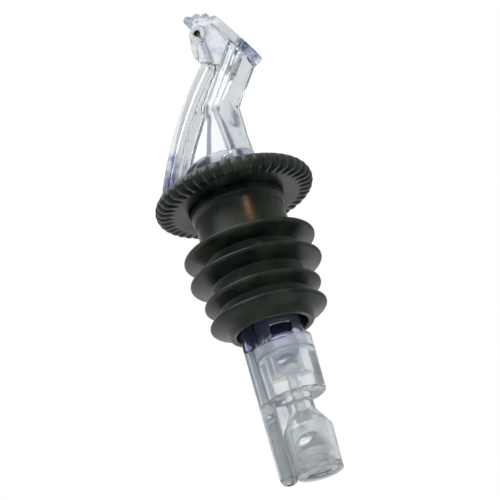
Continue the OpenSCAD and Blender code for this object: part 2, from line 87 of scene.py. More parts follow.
camera_data = bpy.data.cameras.new("camera")
camera_data.sensor_width = 36
camera_data.lens = FOCAL_PIXELS / PICTURE_PIXELS * camera_data.sensor_width
camera_data.clip_start = 0.01
camera = bpy.data.objects.new("camera", camera_data)
bpy.context.scene.collection.objects.link(camera)
turn = Matrix((right, up, -aim)).transposed()
camera.matrix_world = Matrix.Translation(eye) @ turn.to_4x4()
bpy.context.scene.camera = camera
bpy.context.scene.view_settings.view_transform = "Standard"
print("camera at", [round(x, 4) for x in eye], "lens", round(camera_data.lens, 1), "mm")

# %% [markdown]
# ## Helpers for nodes
# Every finish here is a Principled BSDF with a little procedural detail, and the light is a world with
# a few soft shapes in it. Both are node trees. Nodes could be made one by one, with a line for each
# socket, but a few small helpers keep the cells short: they add a node with its sockets filled, step
# softly between two values, do one sum, mix two colours, and spread soft clouds.

# %% Add a node or a group
def socket(sockets, key):
    """The socket of that identifier or name."""
    by_identifier = [s for s in sockets if s.identifier == key]
    return by_identifier[0] if by_identifier else sockets[key]


def add_node(tree, kind, inputs, **settings):
    """Adds a node, sets its properties, and fills its inputs with values or other outputs."""
    node = tree.nodes.new(kind)
    for key, value in settings.items():
        setattr(node, key, value)
    for key, value in inputs.items():
        if isinstance(value, bpy.types.NodeSocket):
            tree.links.new(value, socket(node.inputs, key))
        else:
            socket(node.inputs, key).default_value = value
    return node


def start_group(name, inputs, outputs):
    """A shader node group with named inputs and outputs."""
    group = bpy.data.node_groups.new(name, "ShaderNodeTree")
    for title, kind, value in inputs:
        made = group.interface.new_socket(title, in_out="INPUT", socket_type="NodeSocket" + kind)
        made.default_value = value
    for title, kind in outputs:
        group.interface.new_socket(title, in_out="OUTPUT", socket_type="NodeSocket" + kind)
    given = group.nodes.new("NodeGroupInput").outputs
    result = group.nodes.new("NodeGroupOutput").inputs
    return group, given, result


# %% Steps, sums, mixes and clouds
def object_place(tree):
    """The place of a point of the surface, in the object's own coordinates."""
    return add_node(tree, "ShaderNodeTexCoord", {}).outputs["Object"]


def step(tree, value, limits, first, last, curve="SMOOTHSTEP"):
    """A step from a first value to a last one while a value runs between two limits."""
    ranged = add_node(tree, "ShaderNodeMapRange",
                      {"Value": value, "From Min": limits[0], "From Max": limits[1],
                       "To Min": first, "To Max": last}, interpolation_type=curve)
    return ranged.outputs["Result"]


def calculate(tree, operation, *values):
    """The result of one sum."""
    return add_node(tree, "ShaderNodeMath", dict(enumerate(values)), operation=operation).outputs[0]


def calculate_vector(tree, operation, result, *values):
    """One result, a vector or a value, of a sum with vectors."""
    node = add_node(tree, "ShaderNodeVectorMath", dict(enumerate(values)), operation=operation)
    return node.outputs[result]


def mix_value(tree, share, first, last):
    """A number between two others, by a share."""
    mix = add_node(tree, "ShaderNodeMix", {"Factor_Float": share, "A_Float": first, "B_Float": last},
                   data_type="FLOAT")
    return socket(mix.outputs, "Result_Float")


def mix_colour(tree, share, first, last):
    """A colour between two others, by a share."""
    mix = add_node(tree, "ShaderNodeMix", {"Factor_Float": share, "A_Color": first, "B_Color": last},
                   data_type="RGBA")
    return socket(mix.outputs, "Result_Color")


def clouds(tree, scale, detail):
    """Soft random clouds over the surface; the scale is about their number to a metre."""
    noise = add_node(tree, "ShaderNodeTexNoise",
                     {"Vector": object_place(tree), "Scale": scale, "Detail": detail})
    return noise.outputs["Fac"]


# %% [markdown]
# ## Shared effects
# Moulded plastic is never quite flat: the melt leaves faint waves, its polish changes from place to
# place, and where it has flowed it keeps soft patches of another tint. Rubber has a fine grain and a
# pale bloom that settles in patches. Each effect serves several finishes, so each is a node group,
# built once and placed in a material with its own values.

# %% Waves and polish of moulded plastic
mould_flow, given, result = start_group(
    "mould_flow",
    [("Wave Scale", "Float", 400.0), ("Polish", "Float", 0.03), ("Haze", "Float", 0.08)],
    [("Height", "Float"), ("Roughness", "Float")])
HAZE_SCALE = 900.0
HAZE_LIMITS = (0.35, 0.7)
waves = add_node(mould_flow, "ShaderNodeTexNoise",
                 {"Vector": object_place(mould_flow), "Scale": given["Wave Scale"], "Detail": 2.0,
                  "Roughness": 0.4})
haze = clouds(mould_flow, HAZE_SCALE, 4.0)
polish = step(mould_flow, haze, HAZE_LIMITS, given["Polish"], given["Haze"], "LINEAR")
mould_flow.links.new(waves.outputs["Fac"], result["Height"])
mould_flow.links.new(polish, result["Roughness"])
print("group", mould_flow.name, "made")

# %% Grain and bloom of rubber
rubber_skin, given, result = start_group(
    "rubber_skin",
    [("Rubber", "Color", (0.02, 0.022, 0.02, 1)), ("Bloom", "Color", (0.06, 0.065, 0.06, 1)),
     ("Bloom Amount", "Float", 0.4), ("Grain Scale", "Float", 6000.0), ("Dullness", "Float", 0.5)],
    [("Color", "Color"), ("Roughness", "Float"), ("Height", "Float")])
# How much duller the bloom is than bare rubber
BLOOM_DULLS = 0.35
BLOOM_SCALE = 180.0
BLOOM_LIMITS = (0.4, 0.75)
patches = clouds(rubber_skin, BLOOM_SCALE, 5.0)
settled = step(rubber_skin, patches, BLOOM_LIMITS, 0.0, given["Bloom Amount"], "LINEAR")
grain = clouds(rubber_skin, given["Grain Scale"], 3.0)
dull = calculate(rubber_skin, "MULTIPLY_ADD", patches, BLOOM_DULLS, given["Dullness"])
rubber_skin.links.new(mix_colour(rubber_skin, settled, given["Rubber"], given["Bloom"]), result["Color"])
rubber_skin.links.new(dull, result["Roughness"])
rubber_skin.links.new(grain, result["Height"])
print("group", rubber_skin.name, "made")

# %% Patches where the melt has flowed
flow_tint, given, result = start_group(
    "flow_tint",
    [("Clear", "Color", (0.9, 0.92, 0.94, 1)), ("Patch", "Color", (0.6, 0.65, 0.75, 1)),
     ("Scale", "Float", 300.0)],
    [("Color", "Color")])
PATCH_LIMITS = (0.5, 0.7)
share = step(flow_tint, clouds(flow_tint, given["Scale"], 2.0), PATCH_LIMITS, 0.0, 1.0)
flow_tint.links.new(mix_colour(flow_tint, share, given["Clear"], given["Patch"]), result["Color"])
print("group", flow_tint.name, "made")


# %% Put a group into a material
def start_material(name, group, values, depth):
    """A material whose group sets the roughness, and a bump of that depth in metres."""
    material = bpy.data.materials.new(name)
    material.use_nodes = True
    tree = material.node_tree
    shader = tree.nodes["Principled BSDF"]
    effect = tree.nodes.new("ShaderNodeGroup")
    effect.node_tree = group
    for key, value in values.items():
        effect.inputs[key].default_value = value
    dents = add_node(tree, "ShaderNodeBump",
                     {"Height": effect.outputs["Height"], "Strength": 1.0, "Distance": depth})
    tree.links.new(effect.outputs["Roughness"], shader.inputs["Roughness"])
    tree.links.new(dents.outputs["Normal"], shader.inputs["Normal"])
    return material, shader, effect


# %% [markdown]
# ## Clear and milky plastic
# The spout, its cap and the stem are clear moulded plastic; the housing below is milky. Clear plastic
# could be faked with a half transparent colour, but only refraction gives the bright walls and dark
# bores of the real spout, so Transmission Weight is close to 1. The tint is kept pale, because light
# crosses four or more walls and takes a little of it each time. A wall that turns away from the eye
# looks darker, so a Layer Weight node mixes in an edge colour there. The milky housing scatters: part
# of it is plain white plastic, and what shines through is blurred by a higher roughness.

# %% Plastic finishes
PLASTIC_IOR = 1.47
EDGE_SLATE = (0.12, 0.14, 0.2)
EDGE_LIMITS = (0.55, 1.0)


def clear_plastic(name, tint, edge, polish, haze, clearness):
    """See-through plastic: a tint where a wall is seen square on, and an edge colour where it turns
    away. Returns the material and the mix node's input for the tint."""
    material, shader, _ = start_material(
        name, mould_flow, {"Wave Scale": 350.0, "Polish": polish, "Haze": haze}, depth=0.02 * MM)
    tree = material.node_tree
    facing = add_node(tree, "ShaderNodeLayerWeight", {"Blend": 0.5}).outputs["Facing"]
    turned = step(tree, facing, EDGE_LIMITS, 0.0, 1.0)
    colour = mix_colour(tree, turned, (*tint, 1), (*edge, 1))
    tree.links.new(colour, shader.inputs["Base Color"])
    shader.inputs["Transmission Weight"].default_value = clearness
    shader.inputs["IOR"].default_value = PLASTIC_IOR
    return material, socket(colour.node.inputs, "A_Color")


spout_clear, spout_tint = clear_plastic(
    "spout_clear", tint=(0.86, 0.885, 0.9), edge=EDGE_SLATE, polish=0.05, haze=0.1, clearness=0.95)
cap_clear, cap_tint = clear_plastic(
    "cap_clear", tint=(0.80, 0.83, 0.86), edge=EDGE_SLATE, polish=0.07, haze=0.14, clearness=0.92)
stem_clear, _ = clear_plastic(
    "stem_clear", tint=(0.45, 0.50, 0.70), edge=(0.08, 0.09, 0.18), polish=0.03, haze=0.08, clearness=0.92)
housing_milky, housing_tint = clear_plastic(
    "housing_milky", tint=(0.9, 0.935, 0.945), edge=(0.62, 0.68, 0.71), polish=0.07, haze=0.14,
    clearness=0.77)
print("plastics:", spout_clear.name, cap_clear.name, stem_clear.name, housing_milky.name)

# %% [markdown]
# ## Painted reflections in the plastic
# In the photograph the spout has dark blue clouds where its thick and curved walls bend the light: at
# its foot, at the lower end of the leg, under the tube's knee and on the lip. The room that they show
# isn't known, so refraction alone doesn't bring them back. Each place therefore gets a painted
# reflection: a tint of its own, mixed in by where a point lies on the object, with soft borders.

# %% Mix in a tint
def tint_where(material, target, share, tint):
    """Mixes a tint into a plastic's colour, by a share that changes over the surface."""
    tree = material.node_tree
    before = target.links[0].from_socket if target.is_linked else target.default_value[:]
    tree.links.new(mix_colour(tree, share, before, (*tint, 1)), target)


def tint_patches(material, target, patch, scale):
    """Lays soft patches of a second tint over a plastic."""
    effect = material.node_tree.nodes.new("ShaderNodeGroup")
    effect.node_tree = flow_tint
    effect.inputs["Clear"].default_value = target.default_value[:]
    effect.inputs["Patch"].default_value = (*patch, 1)
    effect.inputs["Scale"].default_value = scale
    material.node_tree.links.new(effect.outputs["Color"], target)


def measure(tree, place, middle, direction):
    """How far a point of the surface lies from a middle along a direction, in millimetres."""
    offset = calculate_vector(tree, "SUBTRACT", "Vector", place, (*(middle * MM),))
    return calculate_vector(tree, "DOT_PRODUCT", "Value", offset, (*(direction / MM),))


# %% Foot, leg and knee of the spout
FOOT_REFLECTION_BLUE = (0.27, 0.32, 0.42)
FOOT_HEIGHTS = (6.5 * MM, 9.5 * MM)
LEG_REFLECTION_BLUE = (0.07, 0.10, 0.27)
# The leg's outer side is a line that leans this much, and crosses the collar's underside here
LEG_SLOPE = -0.504
LEG_OUTSIDE = (-14.7 * MM, -13.7 * MM)
LEG_HEIGHTS = (12.3 * MM, 14.2 * MM)
LEG_CLOUDS = (0.4, 0.6)
LEG_LEAST = 0.25
KNEE_REFLECTION_BLUE = (0.11, 0.14, 0.23)
KNEE_MIDDLE = Vector((4.9, -2.0, 15.4))
KNEE_REACH = Vector((1.3, 2.0, 3.6))
KNEE_RAGGED = 2.4
KNEE_EDGE = (0.1, 0.9)
KNEE_MOST = 0.8

tree = spout_clear.node_tree
place = object_place(tree)
axes = add_node(tree, "ShaderNodeSeparateXYZ", {"Vector": place}).outputs
# Painted reflection of the black collar: a dark blue tint over the foot, fading out upwards.
foot = step(tree, axes["Z"], FOOT_HEIGHTS, 1.0, 0.0, "LINEAR")
tint_where(spout_clear, spout_tint, foot, FOOT_REFLECTION_BLUE)

# Painted reflection: dark blue clouds over the lower end of the leg's outer side.
across = calculate(tree, "MULTIPLY_ADD", axes["Z"], LEG_SLOPE, axes["X"])
outside = step(tree, across, LEG_OUTSIDE, 1.0, 0.0)
low_end = step(tree, axes["Z"], LEG_HEIGHTS, 1.0, 0.0)
cloudy = step(tree, clouds(tree, scale=480.0, detail=1.0), LEG_CLOUDS, LEG_LEAST, 1.0)
leg = calculate(tree, "MULTIPLY", cloudy, calculate(tree, "MULTIPLY", outside, low_end))
tint_where(spout_clear, spout_tint, leg, LEG_REFLECTION_BLUE)

# Painted reflection: a ragged dark cloud under the tube's knee.
offset = calculate_vector(tree, "SUBTRACT", "Vector", place, (*(KNEE_MIDDLE * MM),))
shrunk = calculate_vector(tree, "DIVIDE", "Vector", offset, (*(KNEE_REACH * MM),))
away = calculate_vector(tree, "LENGTH", "Value", shrunk)
away = calculate(tree, "MULTIPLY_ADD", clouds(tree, scale=520.0, detail=2.0), KNEE_RAGGED,
                 calculate(tree, "SUBTRACT", away, KNEE_RAGGED / 2))
tint_where(spout_clear, spout_tint, step(tree, away, KNEE_EDGE, KNEE_MOST, 0.0), KNEE_REFLECTION_BLUE)
print("spout tinted at its foot, leg and knee")

# %% Plate, lip and crown of the cap
# The plate lies across the outlet. Its tints are measured out of the outlet and down along the plate
OUTLET = Vector((10.585, 0, 30.36))
OUTLET_OUT = Vector((0.883, 0, 0.469))
OUTLET_DOWN = Vector((0.469, 0, -0.883))
CROWN_MIDDLE = Vector((1.75, 0, 32.45))
CROWN_UP = Vector((-0.45, 0, 0.89))
# Each tint and the millimetres over which it begins, or ends
PLATE_GREY = (0.62, 0.67, 0.70)
PLATE_FROM = (-1.9, -1.5)
LIP_REFLECTION_NAVY = (0.24, 0.29, 0.45)
NAVY_FROM, NAVY_TO = (-0.6, 2.2), (2.4, 3.3)
LIP_END_BLUE = (0.68, 0.73, 0.92)
LIP_END_FROM = (2.8, 3.6)
CROWN_BLUE = (0.70, 0.76, 0.87)
CROWN_FROM = (4.2, 5.0)
# How much rougher the ribs and the lip's end are than the rest of the cap
FROSTED = 0.25

tint_patches(cap_clear, cap_tint, patch=(0.46, 0.53, 0.68), scale=330.0)
tree = cap_clear.node_tree
place = object_place(tree)
down = measure(tree, place, OUTLET, OUTLET_DOWN)
plate = step(tree, measure(tree, place, OUTLET, OUTLET_OUT), PLATE_FROM, 0.0, 1.0)
tint_where(cap_clear, cap_tint, plate, PLATE_GREY)
# Painted reflection: a dark navy band on the lip, part way down the plate.
lower_half = calculate(tree, "MULTIPLY", step(tree, down, NAVY_FROM, 0.0, 1.0),
                       step(tree, down, NAVY_TO, 1.0, 0.0))
tint_where(cap_clear, cap_tint, calculate(tree, "MULTIPLY", plate, lower_half), LIP_REFLECTION_NAVY)
lip_end = calculate(tree, "MULTIPLY", plate, step(tree, down, LIP_END_FROM, 0.0, 1.0))
tint_where(cap_clear, cap_tint, lip_end, LIP_END_BLUE)
crown = step(tree, measure(tree, place, CROWN_MIDDLE, CROWN_UP), CROWN_FROM, 0.0, 1.0)
tint_where(cap_clear, cap_tint, crown, CROWN_BLUE)
roughness = tree.nodes["Principled BSDF"].inputs["Roughness"]
frost = calculate(tree, "MULTIPLY_ADD", calculate(tree, "MAXIMUM", crown, lip_end), FROSTED,
                  roughness.links[0].from_socket)
tree.links.new(frost, roughness)
print("cap tinted on its plate, lip and crown")

# %% Breather channel of the housing
# In the photograph the channel is greyer than the cup, most of all at its upper end
CHANNEL_GREY = (0.64, 0.69, 0.72)
CHANNEL_SIDE = (-4.2 * MM, -3.2 * MM)
CHANNEL_HEIGHTS = (-42 * MM, -36 * MM)
CHANNEL_LEAST = 0.3
tint_patches(housing_milky, housing_tint, patch=(0.62, 0.68, 0.80), scale=260.0)
tree = housing_milky.node_tree
axes = add_node(tree, "ShaderNodeSeparateXYZ", {"Vector": object_place(tree)}).outputs
channel = calculate(tree, "MULTIPLY", step(tree, axes["X"], CHANNEL_SIDE, 1.0, 0.0),
                    step(tree, axes["Z"], CHANNEL_HEIGHTS, CHANNEL_LEAST, 1.0))
tint_where(housing_milky, housing_tint, channel, CHANNEL_GREY)
print("housing tinted along its channel")

# %% [markdown]
# ## White plastic, rubber, steel and brass
# The seat inside the stem is plain white plastic. The collar and the cork are black rubber with a green
# cast, a dull shine and a pale bloom. The balls are polished bearing steel, and the eyelet in the vent
# is dark brass. Metal shows what is round it, so its colour is that of its reflection, and small
# changes in its roughness keep it from looking like a mirror in a drawing.

# %% Rubber and metal finishes
def black_rubber(name, rubber, bloom, dullness, shine):
    """Black rubber under a bloom, with a fine grain."""
    material, shader, effect = start_material(
        name, rubber_skin, {"Rubber": (*rubber, 1), "Bloom": (*bloom, 1), "Bloom Amount": 0.9,
                            "Grain Scale": 2400.0, "Dullness": dullness}, depth=0.012 * MM)
    material.node_tree.links.new(effect.outputs["Color"], shader.inputs["Base Color"])
    shader.inputs["Specular IOR Level"].default_value = shine
    return material


def polished_metal(name, colour, polish, haze):
    """Metal of one colour, polished between two roughnesses."""
    material, shader, _ = start_material(
        name, mould_flow, {"Wave Scale": 900.0, "Polish": polish, "Haze": haze}, depth=0.001 * MM)
    shader.inputs["Base Color"].default_value = (*colour, 1)
    shader.inputs["Metallic"].default_value = 1.0
    return material


collar_black = black_rubber(
    "collar_black", rubber=(0.005, 0.011, 0.008), bloom=(0.042, 0.048, 0.038), dullness=0.2, shine=0.48)
cork_black = black_rubber(
    "cork_black", rubber=(0.004, 0.010, 0.007), bloom=(0.046, 0.050, 0.036), dullness=0.18, shine=0.42)
ball_steel = polished_metal("ball_steel", (0.72, 0.715, 0.70), polish=0.02, haze=0.06)
vent_brass = polished_metal("vent_brass", (0.10, 0.06, 0.03), polish=0.25, haze=0.4)
seat_white, shader, _ = start_material(
    "seat_white", mould_flow, {"Wave Scale": 500.0, "Polish": 0.3, "Haze": 0.45}, depth=0.01 * MM)
shader.inputs["Base Color"].default_value = (0.82, 0.82, 0.78, 1)
print("made", collar_black.name, cork_black.name, ball_steel.name, vent_brass.name, seat_white.name)

# %% [markdown]
# ## Finishing a piece
# Each piece is shaped in millimetres in a bmesh. Finishing brings it to metres, writes it to an object
# at the origin, shades it smooth, ties it to the body it moves with, and hides the node it stands for.

# %% Finish a piece
def finish_piece(bm, name, body, node, material):
    """Turns a bmesh in millimetres into a finished piece in place of a node."""
    bmesh.ops.scale(bm, vec=(MM, MM, MM), verts=bm.verts)
    mesh = bpy.data.meshes.new(name)
    bm.to_mesh(mesh)
    bm.free()
    mesh.shade_smooth()
    mesh.materials.append(material)
    piece = bpy.data.objects.new(name, mesh)
    bpy.context.scene.collection.objects.link(piece)
    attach(piece, body)
    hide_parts(node)
    print(name, "has", len(mesh.polygons), "faces")
    return piece


# %% [markdown]
# ## Spun pieces
# The cork, the collar and the small rings are round, and in the factory their moulds are turned on a
# lathe. The same works here: a section with a few corners, each corner rounded by a bevel of its
# vertex, and then one full spin. A bevel of the finished ring would give the same edges, but rounding
# the flat section first is safer where corners lie close together.

# %% Spin a rounded section
MERGE = 0.0005


def spin_section(corners, steps, rounds):
    """A ring from a closed section of (radius, height) corners in mm. Each of rounds is a radius, a
    number of segments and the corners that it rounds."""
    bm = bmesh.new()
    loop = [bm.verts.new((r, 0, z)) for r, z in corners]
    bm.faces.new(loop)
    for radius, segments, chosen in rounds:
        bmesh.ops.bevel(bm, geom=[loop[i] for i in chosen], offset=radius, segments=segments,
                        profile=0.5, affect="VERTICES", material=-1)
    bmesh.ops.delete(bm, geom=bm.faces[:], context="FACES_ONLY")
    bmesh.ops.spin(bm, geom=bm.verts[:] + bm.edges[:], cent=(0, 0, 0), axis=(0, 0, 1),
                   angle=2 * math.pi, steps=steps, use_merge=True)
    bmesh.ops.remove_doubles(bm, verts=bm.verts, dist=MERGE)
    bmesh.ops.recalc_face_normals(bm, faces=bm.faces)
    return bm


# %% [markdown]
# ## Cork
# The rubber cork has a bead under the collar, a plain neck and four thin fins that bend in the
# bottle's neck and seal there. The fins turn up a little towards their lips. Each fin adds six corners
# to the section: two roots, which get a fillet as in the mould, and four corners round its lip, which
# are rounded until the lip is almost a half circle.

# %% Section of the cork
CORK_BORE_R = 6.64
CORK_TOP = 0.4
BEAD_R = 8.9
BEAD_LOW = -1.6
BEAD_SLOPE = 0.5
NECK_R = 8.4
CORK_END_R = 7.8
CORK_LOW = -25.7
FIN_LIP = 0.9
FIN_LAND = 0.4
FIN_CHAMFER = 0.25
FIN_ROOT = 1.3
# How far a fin's root lies below its lip
FIN_CUP = 0.72
TAPER_TOP = -18.9
# Depth and radius of each fin's lip
FINS = ((9.5, 12.3), (14.2, 12.3), (18.9, 10.85), (22.9, 10.85))
CORK_STEPS = 144


def neck_radius(z):
    """The cork's own radius at a height: plain down to the third fin, then tapered."""
    share = max(0, (TAPER_TOP - z) / (TAPER_TOP - CORK_LOW))
    return NECK_R + share * (CORK_END_R - NECK_R)


cork_corners = [(CORK_BORE_R, CORK_TOP), (BEAD_R, CORK_TOP), (BEAD_R, BEAD_LOW),
                (NECK_R, BEAD_LOW - BEAD_SLOPE)]
lips, roots = [], []
for depth, lip_r in FINS:
    root_z = -depth - FIN_CUP
    start = len(cork_corners)
    cork_corners += [
        (neck_radius(root_z), root_z + FIN_ROOT / 2),
        (lip_r - FIN_CHAMFER, -depth + FIN_LIP / 2), (lip_r, -depth + FIN_LAND / 2),
        (lip_r, -depth - FIN_LAND / 2), (lip_r - FIN_CHAMFER, -depth - FIN_LIP / 2),
        (neck_radius(root_z), root_z - FIN_ROOT / 2)]
    roots += [start, start + 5]
    lips += range(start + 1, start + 5)
end = len(cork_corners)
cork_corners += [(CORK_END_R, CORK_LOW), (CORK_BORE_R, CORK_LOW)]
cork = spin_section(cork_corners, CORK_STEPS, rounds=[
    (0.1, 3, lips), (0.2, 3, roots), (0.3, 3, [2, 3, end]), (0.2, 2, [end + 1])])
finish_piece(cork, "finned_cork", "pourer", "cork", cork_black)

# %% [markdown]
# ## Collar
# The collar is a rubber disc that stops the pourer on the bottle's lip. Its rim is rounded like a rope,
# with forty six ridges that run over it for grip and fade out on the top. The disc is spun first, with
# eight steps to a ridge. Then the rim's points are pushed in by the depth of the valley at their
# angle, which makes round ridges with narrow valleys. Cutting forty six grooves by Booleans would give
# harder edges and far more work.

# %% Spin the collar
COLLAR_R = 15
COLLAR_T = 3
COLLAR_HOLE_R = 8.94
RIM_R = 1.5
RIM_MID = 13.5
RIDGES = 46
STEPS_TO_RIDGE = 8
FLUTE_START = 11.8
# The underside is divided finely where the valleys begin
FLUTE_DIVISION = 0.25
collar_corners = [(COLLAR_R, 0), (COLLAR_R, COLLAR_T), (CORK_BORE_R, COLLAR_T), (CORK_BORE_R, CORK_TOP),
                  (COLLAR_HOLE_R, CORK_TOP), (COLLAR_HOLE_R, 0)]
collar_corners += [(FLUTE_START + FLUTE_DIVISION * i, 0) for i in range(-1, 7)]
collar = spin_section(collar_corners, RIDGES * STEPS_TO_RIDGE, rounds=[
    (0.12, 2, [5]), (RIM_R - 0.01, 12, [0, 1])])
print("collar spun in", RIDGES * STEPS_TO_RIDGE, "steps")

# %% Press in its valleys
VALLEY = 0.5
# How round a ridge is across its width, and how deep that leaves its border
RIDGE_ARCH = 1.92
ARCH_DEEPEST = 0.72
FLUTE_RUN_IN = 1.1
# The valleys end this many degrees up the rim, and fade over the last ones
CLIMB_END = 62
CLIMB_FADE = 40
FLAT_TOP = 2.5


def clamp(value):
    """The value, held between nothing and one."""
    return min(1, max(0, value))


def valley_depth(radius, height, angle):
    """How far the rim is pushed in at a point: nothing on a ridge's middle, most in a valley."""
    phase = (angle / (2 * math.pi) * RIDGES) % 1 - 0.5
    arch = 1 - math.sqrt(max(0, 1 - (RIDGE_ARCH * phase) ** 2))
    climb = math.degrees(math.atan2(height - RIM_R, radius - RIM_MID)) if radius > RIM_MID else -90
    inner = clamp((radius - FLUTE_START) / FLUTE_RUN_IN)
    outer = clamp((CLIMB_END - climb) / CLIMB_FADE)
    return VALLEY / ARCH_DEEPEST * arch * inner * outer


for point in collar.verts:
    radius = math.hypot(point.co.x, point.co.y)
    if radius < FLUTE_START or (point.co.z > FLAT_TOP and radius <= RIM_MID):
        continue
    push = valley_depth(radius, point.co.z, math.atan2(point.co.y, point.co.x))
    out_r, out_z = radius - min(radius, RIM_MID), point.co.z - RIM_R
    length = math.hypot(out_r, out_z)
    new_r = radius - push * out_r / length
    point.co.x *= new_r / radius
    point.co.y *= new_r / radius
    point.co.z -= push * out_z / length
finish_piece(collar, "fluted_collar", "pourer", "collar", collar_black)

# %% [markdown]
# ## Balls
# Three loose bearing balls do the measuring: one times the pour, one resets it and one keeps the
# breather shut. A ball shows its facets in every reflection, so each is a dense sphere, with the size
# and place of its node. Each rides on a body of its own.

# %% Steel balls
BALL_ROUND, BALL_UP = 72, 36


def steel_ball(name, node):
    """A dense ball in the place of a node."""
    low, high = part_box(node)
    bm = bmesh.new()
    bmesh.ops.create_uvsphere(bm, u_segments=BALL_ROUND, v_segments=BALL_UP,
                              radius=(high.z - low.z) / 2 / MM)
    bmesh.ops.translate(bm, vec=(low + high) / 2 / MM, verts=bm.verts)
    return finish_piece(bm, name, node, node, ball_steel)


for node in ("timing_ball", "reset_ball", "breather_ball"):
    steel_ball("steel_" + node, node)

# %% [markdown]
# ## Small turned pieces
# The eyelet in the vent is a brass tube with a rolled flange. The seat ring stops the timing ball, and
# the plug carries the breather ball. All three are spun from rounded sections and then moved to their
# place; the eyelet is also tipped over, because the vent opens to the front.

# %% Vent eyelet
VENT_PLACE = (2.9, -3.6, 34.35)
eyelet = spin_section(
    [(0.4, -1.6), (0.55, -1.6), (0.55, 0), (0.675, 0), (0.675, 0.15), (0.4, 0.15)], 48,
    rounds=[(0.07, 4, [3, 4]), (0.1, 4, [5]), (0.04, 2, [0, 1])])
bmesh.ops.rotate(eyelet, cent=(0, 0, 0), matrix=Matrix.Rotation(math.pi / 2, 3, "X"), verts=eyelet.verts)
bmesh.ops.translate(eyelet, vec=VENT_PLACE, verts=eyelet.verts)
finish_piece(eyelet, "vent_eyelet", "pourer", "vent_bush", vent_brass)

# %% Seat ring and breather plug
BORE_X = 1.0
AIR_X = -4.75
seat = spin_section([(1.7, -4), (3.4, -4), (3.4, -1.5), (1.7, -1.5)], 64,
                    rounds=[(0.35, 4, [0]), (0.15, 2, [1, 2, 3])])
bmesh.ops.translate(seat, vec=(BORE_X, 0, 0), verts=seat.verts)
finish_piece(seat, "seat_ring", "pourer", "shutoff_seat", seat_white)

plug = spin_section([(0.6, -53.7), (1.05, -53.7), (1.45, -53.1), (1.45, -52.8), (1.31, -52.8),
                     (1.31, -42.6), (0.6, -42.6)], 48,
                    rounds=[(0.25, 4, [1, 2]), (0.1, 2, [0, 3, 5, 6])])
bmesh.ops.translate(plug, vec=(AIR_X, 0, 0), verts=plug.verts)
finish_piece(plug, "breather_tip", "pourer", "breather_plug", housing_milky)

# %% [markdown]
# ## Moulded pieces
# The spout, its cap, the stem, the housing and its end ring are moulded, with bores, webs and ribs that
# run into each other, and every edge a little soft. They could be joined from parts with Booleans and
# bevels, but bevels fail where many curved faces meet. So each starts as a merged copy of its exact
# solid, a voxel remesh gives it an even skin, and a few rounds of smoothing soften the edges as the
# mould does. The voxel is about the size of a pixel, so the finest ribs and holes survive.

# %% Soften a copy of a node
def smooth(bm, points, rounds):
    """Moves points half way to the middle of their neighbours, a few times over."""
    for _ in range(rounds):
        bmesh.ops.smooth_vert(bm, verts=points, factor=0.5,
                              use_axis_x=True, use_axis_y=True, use_axis_z=True)


def soften(node, voxel, rounds):
    """A bmesh in mm: the node's solid with an even skin and soft edges."""
    bm = bmesh.new()
    bm.from_mesh(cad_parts[node].data)
    bmesh.ops.scale(bm, vec=(1 / MM, 1 / MM, 1 / MM), verts=bm.verts)
    bmesh.ops.remove_doubles(bm, verts=bm.verts, dist=MERGE)
    mesh = bpy.data.meshes.new("skin")
    bm.to_mesh(mesh)
    bm.free()
    holder = bpy.data.objects.new("skin", mesh)
    bpy.context.scene.collection.objects.link(holder)
    remesh = holder.modifiers.new("skin", "REMESH")
    remesh.mode = "VOXEL"
    remesh.voxel_size = voxel
    skin = bmesh.new()
    skin.from_object(holder, bpy.context.evaluated_depsgraph_get())
    bpy.data.objects.remove(holder)
    bpy.data.meshes.remove(mesh)
    smooth(skin, skin.verts, rounds)
    return skin


# %% Spout
finish_piece(soften("spout_body", voxel=0.2, rounds=14), "clear_spout", "pourer", "spout_body",
             spout_clear)

# %% [markdown]
# ## Cap
# The cap is softened in the same way, but in the photograph the free end of its lip is thicker and
# rounder than the other edges. So its points below the outlet are pushed out of the plate's underside,
# more towards the end, and then smoothed.

# %% Swell the end of the lip
LIP_SWELL = 0.9
LIP_FROM = 2.6
LIP_DEEPEST = -2.2
SWELL_FROM = 3.3
SWELL_RUN_IN = 0.7
PLATE_T = 1.7
LIP_ROUNDS = 20

cap = soften("spout_cap", voxel=0.14, rounds=9)
lip = []
for point in cap.verts:
    beyond = (point.co - OUTLET).dot(OUTLET_DOWN)
    inside = (point.co - OUTLET).dot(OUTLET_OUT)
    if beyond > LIP_FROM and inside > LIP_DEEPEST:
        lip.append(point)
        swell = clamp((beyond - SWELL_FROM) / SWELL_RUN_IN) * clamp(-inside / PLATE_T)
        point.co -= LIP_SWELL * swell * OUTLET_OUT
smooth(cap, lip, LIP_ROUNDS)
finish_piece(cap, "clear_cap", "pourer", "spout_cap", cap_clear)

# %% [markdown]
# ## Stem and housing
# The stem, the housing and its end ring need nothing but the softening. The ring is the smallest, with
# narrow drain slots, so it has the finest voxel and the fewest rounds.

# %% Stem, housing and end ring
finish_piece(soften("stem_tube", voxel=0.2, rounds=5), "stem", "pourer", "stem_tube",
             stem_clear)
finish_piece(soften("lower_housing", voxel=0.17, rounds=6), "housing", "pourer", "lower_housing",
             housing_milky)
finish_piece(soften("cage_ring", voxel=0.12, rounds=4), "cage_end_ring", "pourer", "cage_ring",
             housing_milky)

# %% [markdown]
# ## Light
# The photograph is a cut-out on pure white under soft studio light. The world is white for what the
# camera sees, and it lights dull surfaces at a plainer level. What plastic, rubber and steel show is
# more than a white room, though: a product is lit with dark cards round it, so that clear walls get
# dark borders and round shapes keep their form. Real cards would have to be built and hidden in every
# view, so they are drawn into the world instead, by the direction a ray leaves in. Light Path tells
# which ray asks: one that passes straight through plastic meets the cards, one that is mirrored on the
# way meets a darker inner room, and a mirrored ray meets a soft room with one bright window.

